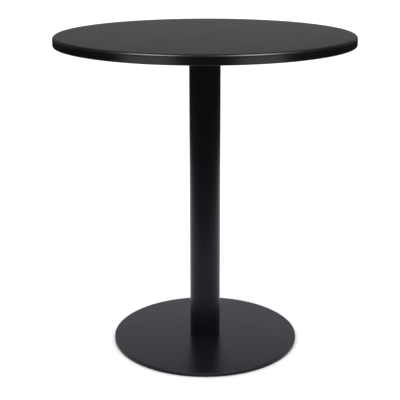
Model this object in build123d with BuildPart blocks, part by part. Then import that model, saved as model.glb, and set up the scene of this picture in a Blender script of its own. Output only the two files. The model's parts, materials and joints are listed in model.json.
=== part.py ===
from build123d import *
import os
from math import cos, pi

# A round bistro table: a steel-clad top on a tube column, which a tie rod clamps to a weighted disc
# base with four levelling glides. Millimetres, +Z up, origin on the floor under the table's centre.

# Overall sizes
table_height = 750.0  # floor to the top face, with the glides screwed in
top_diameter = 690.0
base_diameter = 450.0
column_diameter = 73.0

# Top: a board inside a steel skin, whose rim is turned down and folded under as a hem
top_sheet = 1.5
core_thickness = 19.0
rim_upper_radius = 6.0
rim_lower_radius = 2.5
hem_width = 14.0
core_clearance = 0.3
core_upper_fillet = 5.0
core_lower_fillet = 1.5
backing_thickness = 0.8
backing_clearance = 0.5

# Mounting plate, between the column's head and the top
plate_side = 240.0
plate_thickness = 5.0
plate_corner_radius = 15.0
plate_edge_chamfer = 0.6
mounting_screw_spacing = 200.0

# Column tube, the discs that centre it and the thin rings that seal its two ends
column_wall = 2.0
column_end_chamfer = 0.4
centring_clearance = 0.25
centring_disc_height = 10.0
centring_chamfer = 1.0
joint_ring_thickness = 1.2
joint_ring_setback = 0.8

# Base: a heavy plate inside a pressed cover
base_sheet = 1.2
base_edge_radius = 1.5
weight_thickness = 6.0
weight_clearance = 0.5
weight_setback = 0.8  # from the cover's lower edge up to the plate
weight_chamfer = 1.0
hub_height = 22.0
hub_screw_circle = 22.0
hub_screw_count = 3
hub_thread_depth = 15.0

# M6 button-head mounting screws, with washers and inserts
m6_radius = 3.0
m6_hole_radius = 3.3
m6_head_radius = 5.25
m6_head_height = 3.3
m6_head_fillet = 1.6
m6_key_across_flats = 4.0
m6_key_depth = 2.0
m6_washer_radius = 6.0
m6_washer_thickness = 1.6
m6_engagement = 12.6
insert_radius = 5.0
insert_length = 13.0
insert_hole_extra = 0.8
insert_chamfer = 0.5

# M8 countersunk hub screws
m8_radius = 4.0
m8_hole_radius = 4.3
m8_head_radius = 8.0
m8_sink_radius = 8.3
m8_sink_angle = 90.0
m8_seat_clearance = 0.15
m8_key_across_flats = 5.0
m8_key_depth = 3.0
m8_engagement = 12.8

# M10 tie rod, with its washer, spring washer and nut
m10_radius = 5.0
m10_hole_radius = 5.5
m10_end_chamfer = 1.0
m10_washer_radius = 10.0
m10_washer_thickness = 2.0
m10_spring_outer_radius = 9.0
m10_spring_inner_radius = 5.15
m10_spring_thickness = 2.2
m10_spring_slot = 1.6
m10_nut_across_flats = 16.0
m10_nut_height = 8.4
m10_nut_chamfer = 0.8
rod_end_gap = 2.0
rod_projection = 2.0
nut_pocket_radius = 18.0
nut_pocket_gap = 1.0

# Levelling glides: a nylon pad on the floor, and an M8 stud that turns in it
glide_count = 4
glide_circle = 195.0
glide_first_angle = 45.0
foot_gap = 1.5  # from the floor up to the cover's lower edge
pad_radius = 15.0
pad_thickness = 3.2
pad_chamfer = 0.6
pad_floor = 1.0
pad_key_hole_radius = 2.6
pad_side_clearance = 0.5
pad_top_clearance = 0.3
stud_head_radius = 7.0
stud_head_thickness = 1.4
stud_top_gap = 0.3
stud_end_chamfer = 0.5
stud_key_across_flats = 4.0
stud_key_depth = 3.5
stud_side_clearance = 0.3
stud_end_play = 0.05

# Clearance of a thread or a pressed piece in its hole
thread_clearance = 0.05

# Heights that follow from the sizes above
cover_bottom = foot_gap
weight_bottom = cover_bottom + weight_setback
weight_top = weight_bottom + weight_thickness
base_top = weight_top + base_sheet
column_bottom = base_top + joint_ring_thickness
core_top = table_height - top_sheet
core_bottom = core_top - core_thickness
rim_bottom = core_bottom - top_sheet
backing_bottom = core_bottom - backing_thickness
plate_top = backing_bottom
plate_bottom = plate_top - plate_thickness
column_top = plate_bottom - joint_ring_thickness
rod_bottom = base_top + rod_end_gap
spring_bottom = plate_top + m10_washer_thickness
nut_bottom = spring_bottom + m10_spring_thickness
rod_top = nut_bottom + m10_nut_height + rod_projection
nut_pocket_top = rod_top + nut_pocket_gap
pad_recess_top = pad_thickness + pad_top_clearance
stud_head_bottom = pad_floor
stud_head_top = stud_head_bottom + stud_head_thickness
stud_top = weight_top - stud_top_gap

# Radii that follow from the sizes above
top_radius = top_diameter / 2
core_radius = top_radius - top_sheet - core_clearance
hem_radius = top_radius - hem_width
backing_radius = hem_radius - backing_clearance
column_radius = column_diameter / 2
column_bore = column_radius - column_wall
centring_radius = column_bore - centring_clearance
joint_ring_radius = column_radius - joint_ring_setback
base_radius = base_diameter / 2
weight_radius = base_radius - base_sheet - weight_clearance
m10_nut_corner_radius = m10_nut_across_flats / 2 / cos(pi / 6)

# The underside of the weight faces down, and its screws and glides are cut in from there
weight_underside = Plane(origin=(0, 0, weight_bottom), x_dir=(1, 0, 0), z_dir=(0, 0, -1))

os.makedirs("parts", exist_ok=True)


def turned_outline(*corners):
    """Half the section of a turned piece, in the XZ plane. Each corner is (radius, height, fillet)."""
    with BuildSketch(Plane.XZ) as section:
        with BuildLine():
            FilletPolyline(
                *[(radius, height) for radius, height, _ in corners],
                radius=[fillet_radius for _, _, fillet_radius in corners],
                close=True,
            )
        make_face()
    return section.sketch


# ---- The top ----

with BuildPart() as top_pan:
    revolve(
        turned_outline(
            (0, table_height, 0),
            (top_radius, table_height, rim_upper_radius),
            (top_radius, rim_bottom, rim_lower_radius),
            (hem_radius, rim_bottom, 0),
            (hem_radius, core_bottom, 0),
            (top_radius - top_sheet, core_bottom, rim_lower_radius - top_sheet),
            (top_radius - top_sheet, core_top, rim_upper_radius - top_sheet),
            (0, core_top, 0),
        ),
        axis=Axis.Z,
    )
top_pan.part.label = "top_pan"
export_step(top_pan.part, "parts/top_pan.step")

with BuildPart() as top_core:
    with BuildSketch(Plane.XY.offset(core_bottom)):
        Circle(core_radius)
    extrude(amount=core_thickness)
    fillet(top_core.edges().group_by(Axis.Z)[-1], core_upper_fillet)
    fillet(top_core.edges().group_by(Axis.Z)[0], core_lower_fillet)
    with BuildSketch(Plane.XY.offset(core_bottom)):
        Circle(nut_pocket_radius)
    extrude(amount=nut_pocket_top - core_bottom, mode=Mode.SUBTRACT)
    with BuildSketch(Plane.XY.offset(core_bottom)):
        with GridLocations(mounting_screw_spacing, mounting_screw_spacing, 2, 2):
            Circle(insert_radius + thread_clearance)
    extrude(amount=insert_length + insert_hole_extra, mode=Mode.SUBTRACT)
top_core.part.label = "top_core"
export_step(top_core.part, "parts/top_core.step")

with BuildPart() as backing_sheet:
    with BuildSketch(Plane.XY.offset(backing_bottom)):
        Circle(backing_radius)
        Circle(nut_pocket_radius, mode=Mode.SUBTRACT)
        with GridLocations(mounting_screw_spacing, mounting_screw_spacing, 2, 2):
            Circle(m6_hole_radius, mode=Mode.SUBTRACT)
    extrude(amount=backing_thickness)
backing_sheet.part.label = "backing_sheet"
export_step(backing_sheet.part, "parts/backing_sheet.step")

with BuildPart() as threaded_inserts:
    with BuildSketch(Plane.XY.offset(core_bottom)):
        with GridLocations(mounting_screw_spacing, mounting_screw_spacing, 2, 2):
            Circle(insert_radius)
    extrude(amount=insert_length)
    chamfer(threaded_inserts.edges().group_by(Axis.Z)[-1], insert_chamfer)
    with BuildSketch(Plane.XY.offset(core_bottom)):
        with GridLocations(mounting_screw_spacing, mounting_screw_spacing, 2, 2):
            Circle(m6_radius + thread_clearance)
    extrude(amount=insert_length, mode=Mode.SUBTRACT)
threaded_inserts.part.label = "threaded_inserts"
export_step(threaded_inserts.part, "parts/threaded_inserts.step")

# ---- The mounting plate and its screws ----

with BuildPart() as mounting_plate:
    with BuildSketch(Plane.XY.offset(plate_bottom)):
        RectangleRounded(plate_side, plate_side, plate_corner_radius)
    extrude(amount=plate_thickness)
    chamfer(mounting_plate.edges().group_by(Axis.Z)[0], plate_edge_chamfer)
    with BuildSketch(Plane.XY.offset(plate_bottom)):
        Circle(m10_hole_radius)
        with GridLocations(mounting_screw_spacing, mounting_screw_spacing, 2, 2):
            Circle(m6_hole_radius)
    extrude(amount=plate_thickness, mode=Mode.SUBTRACT)
mounting_plate.part.label = "mounting_plate"
export_step(mounting_plate.part, "parts/mounting_plate.step")

with BuildPart() as mounting_washers:
    with BuildSketch(Plane.XY.offset(plate_bottom - m6_washer_thickness)):
        with GridLocations(mounting_screw_spacing, mounting_screw_spacing, 2, 2):
            Circle(m6_washer_radius)
            Circle(m6_hole_radius, mode=Mode.SUBTRACT)
    extrude(amount=m6_washer_thickness)
mounting_washers.part.label = "mounting_washers"
export_step(mounting_washers.part, "parts/mounting_washers.step")

m6_seat = plate_bottom - m6_washer_thickness
m6_tip = core_bottom + m6_engagement
with BuildPart() as mounting_screws:
    with BuildSketch(Plane.XY.offset(m6_seat - m6_head_height)):
        with GridLocations(mounting_screw_spacing, mounting_screw_spacing, 2, 2):
            Circle(m6_head_radius)
    extrude(amount=m6_head_height)
    fillet(mounting_screws.edges().group_by(Axis.Z)[0], m6_head_fillet)
    with BuildSketch(Plane.XY.offset(m6_seat)):
        with GridLocations(mounting_screw_spacing, mounting_screw_spacing, 2, 2):
            Circle(m6_radius)
    extrude(amount=m6_tip - m6_seat)
    with BuildSketch(Plane.XY.offset(m6_seat - m6_head_height)):
        with GridLocations(mounting_screw_spacing, mounting_screw_spacing, 2, 2):
            RegularPolygon(m6_key_across_flats / 2, 6, major_radius=False)
    extrude(amount=m6_key_depth, mode=Mode.SUBTRACT)
mounting_screws.part.label = "mounting_screws"
export_step(mounting_screws.part, "parts/mounting_screws.step")

# ---- The column ----

with BuildPart() as column_tube:
    with BuildSketch(Plane.XY.offset(column_bottom)):
        Circle(column_radius)
        Circle(column_bore, mode=Mode.SUBTRACT)
    extrude(amount=column_top - column_bottom)
    rims = column_tube.edges().filter_by(GeomType.CIRCLE).group_by(SortBy.RADIUS)[-1]
    chamfer(rims, column_end_chamfer)
column_tube.part.label = "column_tube"
export_step(column_tube.part, "parts/column_tube.step")

with BuildPart() as upper_centring_disc:
    with BuildSketch(Plane.XY.offset(plate_bottom - centring_disc_height)):
        Circle(centring_radius)
    extrude(amount=centring_disc_height)
    chamfer(upper_centring_disc.edges().group_by(Axis.Z)[0], centring_chamfer)
    with BuildSketch(Plane.XY.offset(plate_bottom)):
        Circle(m10_hole_radius)
    extrude(amount=-centring_disc_height, mode=Mode.SUBTRACT)
upper_centring_disc.part.label = "upper_centring_disc"
export_step(upper_centring_disc.part, "parts/upper_centring_disc.step")

with BuildPart() as upper_joint_ring:
    with BuildSketch(Plane.XY.offset(column_top)):
        Circle(joint_ring_radius)
        Circle(column_bore, mode=Mode.SUBTRACT)
    extrude(amount=joint_ring_thickness)
upper_joint_ring.part.label = "upper_joint_ring"
export_step(upper_joint_ring.part, "parts/upper_joint_ring.step")

with BuildPart() as lower_joint_ring:
    with BuildSketch(Plane.XY.offset(base_top)):
        Circle(joint_ring_radius)
        Circle(column_bore, mode=Mode.SUBTRACT)
    extrude(amount=joint_ring_thickness)
lower_joint_ring.part.label = "lower_joint_ring"
export_step(lower_joint_ring.part, "parts/lower_joint_ring.step")

# ---- The tie rod, and what tightens it ----

with BuildPart() as tie_rod:
    with BuildSketch(Plane.XY.offset(rod_bottom)):
        Circle(m10_radius)
    extrude(amount=rod_top - rod_bottom)
    chamfer(tie_rod.edges().filter_by(GeomType.CIRCLE), m10_end_chamfer)
tie_rod.part.label = "tie_rod"
export_step(tie_rod.part, "parts/tie_rod.step")

with BuildPart() as rod_washer:
    with BuildSketch(Plane.XY.offset(plate_top)):
        Circle(m10_washer_radius)
        Circle(m10_hole_radius, mode=Mode.SUBTRACT)
    extrude(amount=m10_washer_thickness)
rod_washer.part.label = "rod_washer"
export_step(rod_washer.part, "parts/rod_washer.step")

with BuildPart() as rod_spring_washer:
    with BuildSketch(Plane.XY.offset(spring_bottom)):
        Circle(m10_spring_outer_radius)
        Circle(m10_spring_inner_radius, mode=Mode.SUBTRACT)
        with Locations((m10_spring_outer_radius, 0)):
            Rectangle(2 * m10_spring_outer_radius, m10_spring_slot, mode=Mode.SUBTRACT)
    extrude(amount=m10_spring_thickness)
rod_spring_washer.part.label = "rod_spring_washer"
export_step(rod_spring_washer.part, "parts/rod_spring_washer.step")

with BuildPart() as rod_nut:
    with BuildSketch(Plane.XY.offset(nut_bottom)):
        Circle(m10_nut_corner_radius)
    extrude(amount=m10_nut_height)
    chamfer(rod_nut.edges().filter_by(GeomType.CIRCLE), m10_nut_chamfer)
    with BuildSketch(Plane.XY.offset(nut_bottom)):
        RegularPolygon(m10_nut_across_flats / 2, 6, major_radius=False)
        Circle(m10_radius + thread_clearance, mode=Mode.SUBTRACT)
    extrude(amount=m10_nut_height, mode=Mode.INTERSECT)
rod_nut.part.label = "rod_nut"
export_step(rod_nut.part, "parts/rod_nut.step")

# ---- The base ----

with BuildPart() as base_cover:
    revolve(
        turned_outline(
            (0, base_top, 0),
            (base_radius, base_top, base_edge_radius),
            (base_radius, cover_bottom, 0),
            (base_radius - base_sheet, cover_bottom, 0),
            (base_radius - base_sheet, weight_top, base_edge_radius - base_sheet),
            (0, weight_top, 0),
        ),
        axis=Axis.Z,
    )
    with BuildSketch(Plane.XY.offset(weight_top)):
        with PolarLocations(hub_screw_circle, hub_screw_count):
            Circle(m8_hole_radius)
    extrude(amount=base_sheet, mode=Mode.SUBTRACT)
base_cover.part.label = "base_cover"
export_step(base_cover.part, "parts/base_cover.step")

with BuildPart() as base_weight:
    with BuildSketch(Plane.XY.offset(weight_bottom)):
        Circle(weight_radius)
    extrude(amount=weight_thickness)
    chamfer(base_weight.edges().group_by(Axis.Z)[-1], weight_chamfer)
    with Locations(weight_underside):
        with PolarLocations(hub_screw_circle, hub_screw_count):
            CounterSinkHole(m8_hole_radius, m8_sink_radius, weight_thickness, m8_sink_angle)
        with PolarLocations(glide_circle, glide_count, glide_first_angle):
            CounterBoreHole(
                m8_radius + thread_clearance,
                pad_radius + pad_side_clearance,
                pad_recess_top - weight_bottom,
                weight_thickness,
            )
base_weight.part.label = "base_weight"
export_step(base_weight.part, "parts/base_weight.step")

with BuildPart() as base_hub:
    with BuildSketch(Plane.XY.offset(base_top)):
        Circle(centring_radius)
    extrude(amount=hub_height)
    chamfer(base_hub.edges().group_by(Axis.Z)[-1], centring_chamfer)
    with BuildSketch(Plane.XY.offset(base_top)):
        Circle(m10_radius + thread_clearance)
    extrude(amount=hub_height, mode=Mode.SUBTRACT)
    with BuildSketch(Plane.XY.offset(base_top)):
        with PolarLocations(hub_screw_circle, hub_screw_count):
            Circle(m8_radius + thread_clearance)
    extrude(amount=hub_thread_depth, mode=Mode.SUBTRACT)
base_hub.part.label = "base_hub"
export_step(base_hub.part, "parts/base_hub.step")

hub_screw_face = weight_bottom + m8_sink_radius - m8_head_radius - m8_seat_clearance
hub_screw_tip = base_top + m8_engagement
with BuildPart() as hub_screw:
    revolve(
        turned_outline(
            (0, hub_screw_face, 0),
            (m8_head_radius, hub_screw_face, 0),
            (m8_radius, hub_screw_face + m8_head_radius - m8_radius, 0),
            (m8_radius, hub_screw_tip, 0),
            (0, hub_screw_tip, 0),
        ),
        axis=Axis.Z,
    )
    with BuildSketch(Plane.XY.offset(hub_screw_face)):
        RegularPolygon(m8_key_across_flats / 2, 6, major_radius=False)
    extrude(amount=m8_key_depth, mode=Mode.SUBTRACT)

with BuildPart() as hub_screws:
    with PolarLocations(hub_screw_circle, hub_screw_count):
        add(hub_screw.part)
hub_screws.part.label = "hub_screws"
export_step(hub_screws.part, "parts/hub_screws.step")

# ---- The levelling glides ----

glide_places = PolarLocations(glide_circle, glide_count, glide_first_angle)
for number, place in enumerate(glide_places, start=1):
    floor_spot = Plane(place)

    with BuildPart() as glide_pad:
        with BuildSketch(floor_spot):
            Circle(pad_radius)
        extrude(amount=pad_thickness)
        chamfer(glide_pad.edges().filter_by(GeomType.CIRCLE), pad_chamfer)
        with BuildSketch(floor_spot):
            Circle(pad_key_hole_radius)
        extrude(amount=stud_head_bottom, mode=Mode.SUBTRACT)
        with BuildSketch(floor_spot.offset(stud_head_bottom - stud_end_play)):
            Circle(stud_head_radius + stud_side_clearance)
        extrude(amount=stud_head_thickness + 2 * stud_end_play, mode=Mode.SUBTRACT)
        with BuildSketch(floor_spot.offset(stud_head_top)):
            Circle(m8_radius + stud_side_clearance)
        extrude(amount=pad_thickness - stud_head_top, mode=Mode.SUBTRACT)
    glide_pad.part.label = f"glide_pad_{number}"
    export_step(glide_pad.part, f"parts/glide_pad_{number}.step")

    with BuildPart() as glide_stud:
        with BuildSketch(floor_spot.offset(stud_head_bottom)):
            Circle(stud_head_radius)
        extrude(amount=stud_head_thickness)
        with BuildSketch(floor_spot.offset(stud_head_top)):
            Circle(m8_radius)
        extrude(amount=stud_top - stud_head_top)
        chamfer(glide_stud.edges().group_by(Axis.Z)[-1], stud_end_chamfer)
        with BuildSketch(floor_spot.offset(stud_head_bottom)):
            RegularPolygon(stud_key_across_flats / 2, 6, major_radius=False)
        extrude(amount=stud_key_depth, mode=Mode.SUBTRACT)
    glide_stud.part.label = f"glide_stud_{number}"
    export_step(glide_stud.part, f"parts/glide_stud_{number}.step")
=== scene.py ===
import json
import math

import bpy
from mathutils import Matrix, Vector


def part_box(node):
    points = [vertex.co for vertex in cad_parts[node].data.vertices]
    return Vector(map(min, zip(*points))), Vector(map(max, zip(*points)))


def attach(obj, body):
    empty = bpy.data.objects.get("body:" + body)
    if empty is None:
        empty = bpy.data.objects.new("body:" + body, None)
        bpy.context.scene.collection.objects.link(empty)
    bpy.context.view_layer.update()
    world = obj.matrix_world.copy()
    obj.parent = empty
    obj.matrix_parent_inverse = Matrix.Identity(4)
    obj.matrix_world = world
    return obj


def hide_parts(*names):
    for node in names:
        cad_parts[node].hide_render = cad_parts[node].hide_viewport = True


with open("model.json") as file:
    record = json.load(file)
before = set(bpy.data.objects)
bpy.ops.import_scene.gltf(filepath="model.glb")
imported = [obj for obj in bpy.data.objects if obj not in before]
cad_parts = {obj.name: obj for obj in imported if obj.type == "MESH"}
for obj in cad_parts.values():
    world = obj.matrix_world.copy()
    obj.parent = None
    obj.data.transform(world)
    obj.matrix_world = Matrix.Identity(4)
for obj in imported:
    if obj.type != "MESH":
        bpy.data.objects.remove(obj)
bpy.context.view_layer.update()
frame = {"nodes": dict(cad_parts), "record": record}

# A round bistro table in satin black powder coat. Metres, +Z up, origin on the floor under the table.
# Places come from the frame's nodes; what follows are the finer sizes that a box doesn't give.
TOP_SHEET = 0.0015
TOP_UPPER_EDGE = 0.006
TOP_LOWER_EDGE = 0.0025
TOP_HEM = 0.014
COLUMN_WALL = 0.002
COLUMN_EDGE = 0.0005
BASE_SHEET = 0.0012
BASE_EDGE = 0.0015

TABLE = "table"

# How the turned meshes are cut and shaded: degrees, a share of 100, metres and faces round the axis
SHARP_ANGLE = 40
FLAT_FACE_WEIGHT = 90
CENTRE_RADIUS = 0.01
TOP_SEGMENTS = 288
COLUMN_SEGMENTS = 144
BASE_SEGMENTS = 240
FLOOR_SEGMENTS = 96


# ---------------------------------------------------------------------------------------------
# Meshes
# ---------------------------------------------------------------------------------------------


def arc(centre_r, centre_z, radius, start, end, steps):
    """Points of a quarter round in the (radius, height) plane, from start to end in degrees."""
    angles = [math.radians(start + (end - start) * i / steps) for i in range(steps + 1)]
    return [(centre_r + radius * math.cos(a), centre_z + radius * math.sin(a)) for a in angles]


def spaced(first, last, count):
    """Points along a straight run, ends left out, so that long faces are cut into even ones."""
    (r0, z0), (r1, z1) = first, last
    shares = [i / (count + 1) for i in range(1, count + 1)]
    return [(r0 + (r1 - r0) * s, z0 + (z1 - z0) * s) for s in shares]


def lathe(name, outline, segments, closed=False):
    """A smooth turned piece. The outline runs over (radius, height) points; closed joins its ends."""
    verts, rings = [], []
    for radius, height in outline:
        count = segments if radius > 0 else 1
        rings.append(range(len(verts), len(verts) + count))
        for i in range(count):
            turn = 2 * math.pi * i / segments
            verts.append((radius * math.cos(turn), radius * math.sin(turn), height))
    pairs = list(zip(rings, rings[1:]))
    if closed:
        pairs.append((rings[-1], rings[0]))
    faces = []
    for upper, lower in pairs:
        for i in range(segments):
            j = (i + 1) % segments
            above = [upper[i % len(upper)], upper[j % len(upper)]]
            below = [lower[i % len(lower)], lower[j % len(lower)]]
            corners = [above[0], *below, above[1]]
            faces.append([c for k, c in enumerate(corners) if c not in corners[:k]])
    mesh = bpy.data.meshes.new(name)
    mesh.from_pydata(verts, [], faces)
    mesh.validate()
    for polygon in mesh.polygons:
        polygon.use_smooth = True
    mesh.set_sharp_from_angle(angle=math.radians(SHARP_ANGLE))
    piece = bpy.data.objects.new(name, mesh)
    bpy.context.scene.collection.objects.link(piece)
    return piece


def weigh_normals(piece):
    """Flat faces shade flat and the rounded edges between them shade smooth."""
    weighted = piece.modifiers.new("weighted_normals", "WEIGHTED_NORMAL")
    weighted.keep_sharp = True
    weighted.weight = FLAT_FACE_WEIGHT


def stand_for(piece, node, material, body=TABLE):
    """The piece takes a CAD node's place and hides it, goes to a body and takes a finish."""
    weigh_normals(piece)
    piece.data.materials.append(material)
    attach(piece, body)
    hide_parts(node)


# ---------------------------------------------------------------------------------------------
# Materials
# ---------------------------------------------------------------------------------------------


# The range that most of a noise lies in
NOISE_LOW = 0.35
NOISE_HIGH = 0.65


class Shader:
    """A material with one Principled shader, and short ways to add its nodes."""

    def __init__(self, name):
        self.material = bpy.data.materials.new(name)
        self.material.use_nodes = True
        self.tree = self.material.node_tree
        self.shader = self.tree.nodes["Principled BSDF"]
        self.place = self.tree.nodes.new("ShaderNodeTexCoord").outputs["Object"]

    def set(self, **values):
        for socket, value in values.items():
            self.shader.inputs[socket.replace("_", " ")].default_value = value

    def link(self, output, socket):
        self.tree.links.new(output, self.shader.inputs[socket])

    def noise(self, scale, detail=2.0, roughness=0.5, stretch=None):
        """A noise of so many bumps a metre, squeezed along an axis where stretch is over 1."""
        place = self.place
        if stretch:
            mapping = self.tree.nodes.new("ShaderNodeMapping")
            mapping.inputs["Scale"].default_value = stretch
            self.tree.links.new(place, mapping.inputs["Vector"])
            place = mapping.outputs["Vector"]
        node = self.tree.nodes.new("ShaderNodeTexNoise")
        node.inputs["Scale"].default_value = scale
        node.inputs["Detail"].default_value = detail
        node.inputs["Roughness"].default_value = roughness
        self.tree.links.new(place, node.inputs["Vector"])
        return node.outputs["Fac"]

    def spread(self, value, low, high):
        """Maps a noise's middle range onto low to high."""
        node = self.tree.nodes.new("ShaderNodeMapRange")
        node.inputs["From Min"].default_value = NOISE_LOW
        node.inputs["From Max"].default_value = NOISE_HIGH
        node.inputs["To Min"].default_value = low
        node.inputs["To Max"].default_value = high
        self.tree.links.new(value, node.inputs["Value"])
        return node.outputs["Result"]

    def colours(self, value, *stops):
        """A colour ramp over value. Each stop is (position, (r, g, b))."""
        node = self.tree.nodes.new("ShaderNodeValToRGB")
        ramp = node.color_ramp
        while len(ramp.elements) < len(stops):
            ramp.elements.new(1.0)
        for element, (position, colour) in zip(ramp.elements, stops):
            element.position = position
            element.color = (*colour, 1.0)
        self.tree.links.new(value, node.inputs["Fac"])
        return node.outputs["Color"]

    def bumps(self, *layers):
        """Stacks bump layers. Each is (height output, distance in metres, strength)."""
        normal = None
        for height, distance, strength in layers:
            node = self.tree.nodes.new("ShaderNodeBump")
            node.inputs["Distance"].default_value = distance
            node.inputs["Strength"].default_value = strength
            self.tree.links.new(height, node.inputs["Height"])
            if normal:
                self.tree.links.new(normal, node.inputs["Normal"])
            normal = node.outputs["Normal"]
        self.link(normal, "Normal")


def powder_coat(name, dark, light, roughness, ior, tint=(1.0, 1.0, 1.0)):
    """Satin powder coat: a fine orange peel, with a tone and a gloss that wander a little."""
    drift, strength = 0.005, 0.25
    coat = Shader(name)
    coat.set(IOR=ior, Specular_Tint=(*tint, 1.0))
    coat.link(coat.colours(coat.noise(9, 3.0), (0.3, dark), (0.7, light)), "Base Color")
    coat.link(coat.spread(coat.noise(14), roughness - drift, roughness + drift), "Roughness")
    coarse, fine = coat.noise(260, 0.0), coat.noise(1500, 0.0)
    coat.bumps((coarse, 0.000006, strength), (fine, 0.0000015, strength))
    return coat.material


def plain_plastic(name, dark, light, roughness):
    """Moulded nylon or laminate: a fine even grain."""
    drift = 0.05
    plastic = Shader(name)
    plastic.set(IOR=1.5)
    plastic.link(plastic.colours(plastic.noise(60, 3.0), (0.3, dark), (0.7, light)), "Base Color")
    plastic.link(plastic.spread(plastic.noise(180), roughness - drift, roughness + drift), "Roughness")
    plastic.bumps((plastic.noise(1500), 0.00003, 0.5))
    return plastic.material


def plated_steel(name, dark, light, roughness, metallic=1.0):
    """Zinc-plated or blackened steel: a crystal mottle and fine machining lines round the axis."""
    drift, rings = 0.06, (1, 1, 12)
    steel = Shader(name)
    steel.set(Metallic=metallic)
    steel.link(steel.colours(steel.noise(700, 4.0, 0.6), (0.35, dark), (0.65, light)), "Base Color")
    steel.link(steel.spread(steel.noise(300, 3.0), roughness - drift, roughness + drift), "Roughness")
    steel.bumps((steel.noise(900, 1.0, stretch=rings), 0.00003, 0.4))
    return steel.material


def fibreboard(name):
    """Pressed wood fibres, for the board inside the top."""
    dark, light = (0.22, 0.14, 0.08), (0.46, 0.33, 0.2)
    board = Shader(name)
    board.link(board.colours(board.noise(500, 6.0, 0.7), (0.3, dark), (0.7, light)), "Base Color")
    board.link(board.spread(board.noise(200, 3.0), 0.75, 0.92), "Roughness")
    board.bumps((board.noise(1200, 3.0), 0.0001, 0.6))
    return board.material


TOP_COAT = powder_coat(
    "top_powder_coat",
    dark=(0.0021, 0.0014, 0.0017),
    light=(0.0033, 0.0024, 0.0028),
    roughness=0.28,
    ior=1.36,
)
FRAME_COAT = powder_coat(
    "frame_powder_coat",
    dark=(0.003, 0.0029, 0.0042),
    light=(0.0044, 0.0043, 0.0058),
    roughness=0.32,
    ior=1.32,
    tint=(0.84, 0.82, 1.0),
)
NYLON = plain_plastic("black_nylon", (0.008, 0.008, 0.0085), (0.014, 0.014, 0.0145), 0.55)
LAMINATE = plain_plastic("backing_laminate", (0.02, 0.02, 0.021), (0.03, 0.03, 0.031), 0.6)
ZINC = plated_steel("zinc_plated_steel", (0.42, 0.42, 0.4), (0.62, 0.62, 0.6), 0.32)
BLACK_STEEL = plated_steel("black_steel", (0.02, 0.02, 0.021), (0.05, 0.05, 0.052), 0.42, 0.6)
PRIMER = powder_coat("primed_steel", (0.05, 0.05, 0.053), (0.075, 0.075, 0.08), 0.6, 1.45)
MDF = fibreboard("fibreboard")

FINISHES = {
    "top_powder_coat": TOP_COAT,
    "frame_powder_coat": FRAME_COAT,
    "primed_steel": PRIMER,
    "fibreboard": MDF,
    "backing_laminate": LAMINATE,
    "zinc_plated_steel": ZINC,
    "black_steel": BLACK_STEEL,
    "nylon": NYLON,
}

for part in frame["record"]["subparts"]:
    node = frame["nodes"][part["node"]]
    node.data.materials.clear()
    node.data.materials.append(FINISHES[part["material_slot"]])


# ---------------------------------------------------------------------------------------------
# The pieces that show
# ---------------------------------------------------------------------------------------------


def make_top():
    """The steel skin: a flat face, a rounded edge, the rim and the hem folded in under the board."""
    low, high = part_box("top_pan")
    radius, top, bottom = high.x, high.z, low.z
    under = top - TOP_SHEET
    upper, upper_z = radius - TOP_UPPER_EDGE, top - TOP_UPPER_EDGE
    lower, lower_z = radius - TOP_LOWER_EDGE, bottom + TOP_LOWER_EDGE
    hem = radius - TOP_HEM
    outline = [(0, top), (CENTRE_RADIUS, top)]
    outline += spaced((CENTRE_RADIUS, top), (upper, top), count=8)
    outline += arc(upper, upper_z, TOP_UPPER_EDGE, 90, 0, steps=12)
    outline += spaced((radius, upper_z), (radius, lower_z), count=3)
    outline += arc(lower, lower_z, TOP_LOWER_EDGE, 0, -90, steps=8)
    outline += [(hem, bottom), (hem, bottom + TOP_SHEET)]
    outline += arc(lower, lower_z, TOP_LOWER_EDGE - TOP_SHEET, -90, 0, steps=4)
    outline += arc(upper, upper_z, TOP_UPPER_EDGE - TOP_SHEET, 0, 90, steps=6)
    outline += [(CENTRE_RADIUS, under), (0, under)]
    stand_for(lathe("table_top", outline, TOP_SEGMENTS), "top_pan", TOP_COAT)


def make_column():
    """The tube, with its cut ends just broken."""
    low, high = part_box("column_tube")
    radius, top, bottom = high.x, high.z, low.z
    bore, edge = radius - COLUMN_WALL, radius - COLUMN_EDGE
    outline = [(bore, top)]
    outline += arc(edge, top - COLUMN_EDGE, COLUMN_EDGE, 90, 0, steps=4)
    outline += spaced((radius, top), (radius, bottom), count=12)
    outline += arc(edge, bottom + COLUMN_EDGE, COLUMN_EDGE, 0, -90, steps=4)
    outline += [(bore, bottom)]
    column = lathe("column", outline, COLUMN_SEGMENTS, closed=True)
    stand_for(column, "column_tube", FRAME_COAT)


def make_base():
    """The pressed cover of the base."""
    low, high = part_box("base_cover")
    radius, top, bottom = high.x, high.z, low.z
    inner, under = radius - BASE_SHEET, top - BASE_SHEET
    edge, edge_z = radius - BASE_EDGE, top - BASE_EDGE
    outline = [(0, top), (CENTRE_RADIUS, top)]
    outline += spaced((CENTRE_RADIUS, top), (edge, top), count=6)
    outline += arc(edge, edge_z, BASE_EDGE, 90, 0, steps=8)
    outline += [(radius, bottom), (inner, bottom)]
    outline += arc(edge, edge_z, BASE_EDGE - BASE_SHEET, 0, 90, steps=3)
    outline += [(CENTRE_RADIUS, under), (0, under)]
    disc = lathe("base_disc", outline, BASE_SEGMENTS)
    stand_for(disc, "base_cover", FRAME_COAT)


make_top()
make_column()
make_base()


# ---------------------------------------------------------------------------------------------
# Floor, lights and camera
# ---------------------------------------------------------------------------------------------

# The part of the floor that the coat mirrors, and the wall that the floor curves up into
LIT_RADIUS = 1.4
LIT_CENTRE = 0.68
COVE_START = 16.0
COVE_RADIUS = 4.0
COVE_HEIGHT = 9.0

# The overhead lamp: strength, spread in degrees and place
SUN_STRENGTH = 4.1
SUN_SPREAD = 120
SUN_PLACE = (0, 0, 4)

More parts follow.
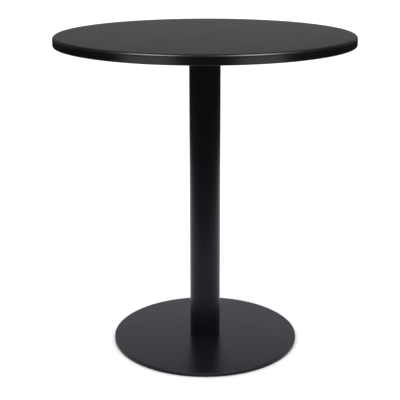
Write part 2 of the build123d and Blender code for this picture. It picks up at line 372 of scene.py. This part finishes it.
# The softboxes: what they are aimed at, how bright they are, and the ring of screens for the base
RIM_HEIGHT = 0.74
SOFTBOX_RADIANCE = 16
FILL_RADIANCE = 2.8
TOP_SCREEN_RADIANCE = 0.17
TOP_SCREEN_HEIGHT = 0.8
BASE_SCREEN_RADIANCE = 0.94
BASE_SCREEN_COLOUR = (0.95, 0.91, 1.0)
BASE_SCREEN_HEIGHT = 0.67
BASE_SCREENS = 5

# The camera: focal length and film width in millimetres, place, and pitch, roll and yaw in degrees
CAMERA_LENS = 84.17
CAMERA_FILM = 36.0
CAMERA_PLACE = (0, -2.15, 1.0)
CAMERA_TURNS = (90 - 16.72, 0.13, 0.28)


def floor_material():
    """Matt white paper with a faint drift in tone."""
    paper = Shader("pale_floor")
    dark, light = (0.88, 0.88, 0.88), (0.9, 0.9, 0.9)
    paper.link(paper.colours(paper.noise(3, 3.0), (0.3, dark), (0.7, light)), "Base Color")
    paper.set(Roughness=0.8)
    return paper.material


def make_floor():
    """A pale floor and the wall it curves up into. The coat mirrors only the lit part round the table."""
    start, wall = (COVE_START, 0), (COVE_START + COVE_RADIUS, COVE_HEIGHT)
    bend = arc(COVE_START, COVE_RADIUS, COVE_RADIUS, -90, 0, steps=12)
    near = lathe("floor_near", [(0, 0), (LIT_RADIUS, 0)], FLOOR_SEGMENTS)
    far = lathe("floor", [(LIT_RADIUS, 0), start], FLOOR_SEGMENTS)
    cove = lathe("cove", [start, *bend[1:], wall], FLOOR_SEGMENTS)
    far.visible_glossy = cove.visible_glossy = cove.visible_diffuse = False
    material = floor_material()
    for sheet in (near, far, cove):
        sheet.location = (0, LIT_CENTRE, 0)
        sheet.data.materials.append(material)


def aimed(obj, place, target):
    """Puts a lamp at a place, turned to the target."""
    obj.location = place
    direction = [t - p for t, p in zip(target, place)]
    flat = math.hypot(direction[0], direction[1])
    obj.rotation_euler = (
        math.atan2(flat, -direction[2]),
        0,
        math.atan2(direction[1], direction[0]) - math.pi / 2,
    )
    bpy.context.scene.collection.objects.link(obj)


def make_softbox(
    name, place, size, radiance, seen_by=None, aim_height=RIM_HEIGHT, colour=(1, 1, 1)
):
    """A softbox that only shows in gloss. Its place is (azimuth, distance, height), where azimuth 0 is
    on the camera's side and grows to the right. Its size is (width, height)."""
    azimuth, distance, height = place
    width, tall = size
    lamp = bpy.data.lights.new(name, "AREA")
    lamp.shape = "RECTANGLE"
    lamp.size, lamp.size_y = width, tall
    lamp.energy = radiance * math.pi * width * tall
    lamp.color = colour
    turn = math.radians(azimuth)
    obj = bpy.data.objects.new(name, lamp)
    obj.visible_diffuse = False
    spot = (distance * math.sin(turn), -distance * math.cos(turn), height)
    aimed(obj, spot, (0, 0, aim_height))
    if seen_by:
        receivers = bpy.data.collections.new(name + "_receivers")
        receivers.objects.link(bpy.data.objects[seen_by])
        obj.light_linking.receiver_collection = receivers


def make_softboxes():
    """Two softboxes light the whole table, and each of the others lights one piece."""
    make_softbox("softbox_left", (-44, 1.4, 2.1), (1.0, 1.1), SOFTBOX_RADIANCE)
    make_softbox("softbox_right", (43, 1.4, 2.1), (0.9, 1.1), SOFTBOX_RADIANCE)
    make_softbox("fill_left", (-36, 1.35, 0.5), (0.85, 0.3), FILL_RADIANCE, "table_top")
    make_softbox("fill_right", (36.5, 1.37, 0.5), (0.76, 0.3), FILL_RADIANCE, "table_top")
    make_softbox(
        "screen_top",
        (180, 2.2, TOP_SCREEN_HEIGHT),
        (2.2, 0.6),
        TOP_SCREEN_RADIANCE,
        "table_top",
        aim_height=TOP_SCREEN_HEIGHT,
    )
    for number in range(BASE_SCREENS):
        make_softbox(
            f"screen_base_{number + 1}",
            (180 + 360 / BASE_SCREENS * number, 2.0, BASE_SCREEN_HEIGHT),
            (2.8, 0.8),
            BASE_SCREEN_RADIANCE,
            "base_disc",
            aim_height=BASE_SCREEN_HEIGHT,
            colour=BASE_SCREEN_COLOUR,
        )


def make_overhead():
    """Even soft light on the floor, which the coat doesn't mirror."""
    lamp = bpy.data.lights.new("overhead", "SUN")
    lamp.energy = SUN_STRENGTH
    lamp.angle = math.radians(SUN_SPREAD)
    obj = bpy.data.objects.new("overhead", lamp)
    obj.visible_glossy = False
    aimed(obj, SUN_PLACE, (0, 0, 0))


# The studio that the coat mirrors, as (sine of the height above the horizon, colour)
ROOM = (
    (-1.0, (0.02, 0.02, 0.021)),
    (-0.1, (0.02, 0.02, 0.021)),
    (0.0, (0.175, 0.156, 0.167)),
    (0.12, (0.175, 0.156, 0.167)),
    (0.25, (0.14, 0.132, 0.138)),
    (0.6, (0.12, 0.12, 0.122)),
    (0.85, (0.3, 0.3, 0.305)),
    (1.0, (0.4, 0.4, 0.405)),
)


def make_world():
    """A gradient by height, even all round."""
    world = bpy.data.worlds.new("studio")
    bpy.context.scene.world = world
    world.use_nodes = True
    tree = world.node_tree
    place = tree.nodes.new("ShaderNodeTexCoord")
    split = tree.nodes.new("ShaderNodeSeparateXYZ")
    tree.links.new(place.outputs["Generated"], split.inputs["Vector"])
    rise = tree.nodes.new("ShaderNodeMapRange")
    rise.inputs["From Min"].default_value = -1
    tree.links.new(split.outputs["Z"], rise.inputs["Value"])
    ramp = tree.nodes.new("ShaderNodeValToRGB")
    elements = ramp.color_ramp.elements
    while len(elements) < len(ROOM):
        elements.new(1.0)
    for element, (sine, colour) in zip(elements, ROOM):
        element.position = (sine + 1) / 2
        element.color = (*colour, 1)
    tree.links.new(rise.outputs["Result"], ramp.inputs["Fac"])
    tree.links.new(ramp.outputs["Color"], tree.nodes["Background"].inputs["Color"])


def make_camera():
    """In front of the table and a little above its top, looking down at the middle of the column."""
    camera = bpy.data.cameras.new("camera")
    camera.sensor_width = CAMERA_FILM
    camera.lens = CAMERA_LENS
    obj = bpy.data.objects.new("camera", camera)
    obj.location = CAMERA_PLACE
    obj.rotation_euler = [math.radians(turn) for turn in CAMERA_TURNS]
    bpy.context.scene.collection.objects.link(obj)
    bpy.context.scene.camera = obj


make_floor()
make_overhead()
make_softboxes()
make_world()
make_camera()

bpy.context.scene.view_settings.view_transform = "Standard"
bpy.context.scene.view_settings.look = "None"
